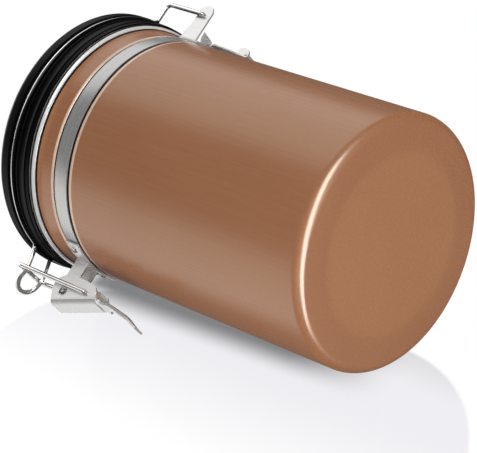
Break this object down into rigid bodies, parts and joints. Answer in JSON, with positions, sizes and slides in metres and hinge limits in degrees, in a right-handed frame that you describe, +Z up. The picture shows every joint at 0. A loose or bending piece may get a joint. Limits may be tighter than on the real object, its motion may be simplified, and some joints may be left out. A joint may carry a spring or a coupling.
{
  "type": "coffee canister with valve",
  "caption": "Round painted-steel airtight canister with a wire-hinged lid, a front toggle latch, a rear scoop clip and a one-way gas valve in the lid.",
  "frame": {"origin": "middle of the flat ring that the base stands on", "axes": "+Z up from the base to the lid, -Y towards the toggle latch, +Y towards the hinge, X along the hinge's axis"},
  "size_m": [0.1254, 0.1596, 0.1922],
  "materials": {
    "painted_can": "satin copper-brown metallic paint with a fine vertical drawing grain",
    "polished_steel": "bright polished stainless wire",
    "brushed_steel": "satin stainless, grain round the can",
    "sheet_steel": "fine satin stamped stainless sheet",
    "rivet_steel": "bright rolled rivet heads",
    "black_collar": "black semi-gloss rubbery plastic",
    "valve_plastic": "fine-grained black moulding",
    "pale_silicone": "pale translucent silicone",
    "filter_felt": "pressed white felt",
    "red_rubber": "smooth red silicone rubber"
  },
  "bodies": {
    "canister": {"can": "painted_can", "rim_bead": "polished_steel", "neck_band": "brushed_steel", "latch_bracket": "sheet_steel", "latch_rivets": "rivet_steel", "lever_pin": "rivet_steel", "hinge_bracket": "sheet_steel", "hinge_rivets": "rivet_steel", "scoop_clip": "sheet_steel"},
    "lid": {"lid_collar": "black_collar", "lid_cover": "brushed_steel", "lid_inner_plate": "brushed_steel", "lid_gasket": "pale_silicone", "lid_wire": "polished_steel", "valve_housing": "valve_plastic", "valve_washer": "pale_silicone", "valve_nut": "valve_plastic", "valve_filter": "filter_felt", "valve_cap": "valve_plastic"},
    "valve": {"valve_disc": "red_rubber"},
    "lever": {"latch_lever": "sheet_steel"},
    "bail": {"latch_bail": "polished_steel"}
  },
  "joints": [
    {"name": "lid_hinge", "type": "hinge", "parent": "canister", "child": "lid", "pos_m": [0, 0.0699, 0.1544], "axis": [-1, 0, 0], "range_deg": [0, 110]},
    {"name": "lever_pivot", "type": "hinge", "parent": "canister", "child": "lever", "pos_m": [0, -0.0763, 0.1466], "axis": [-1, 0, 0], "range_deg": [0, 105]},
    {"name": "bail_swing", "type": "hinge", "parent": "lever", "child": "bail", "pos_m": [0, -0.0731, 0.1333], "axis": [-1, 0, 0], "range_deg": [-76.65, 0]},
    {"name": "valve_lift", "type": "slide", "parent": "lid", "child": "valve", "axis": [0, 0, 1], "range_m": [0, 0.0008]}
  ],
  "couplings": [
    {"joint": "bail_swing", "follows": "lever_pivot", "ratio": -0.73}
  ]
}
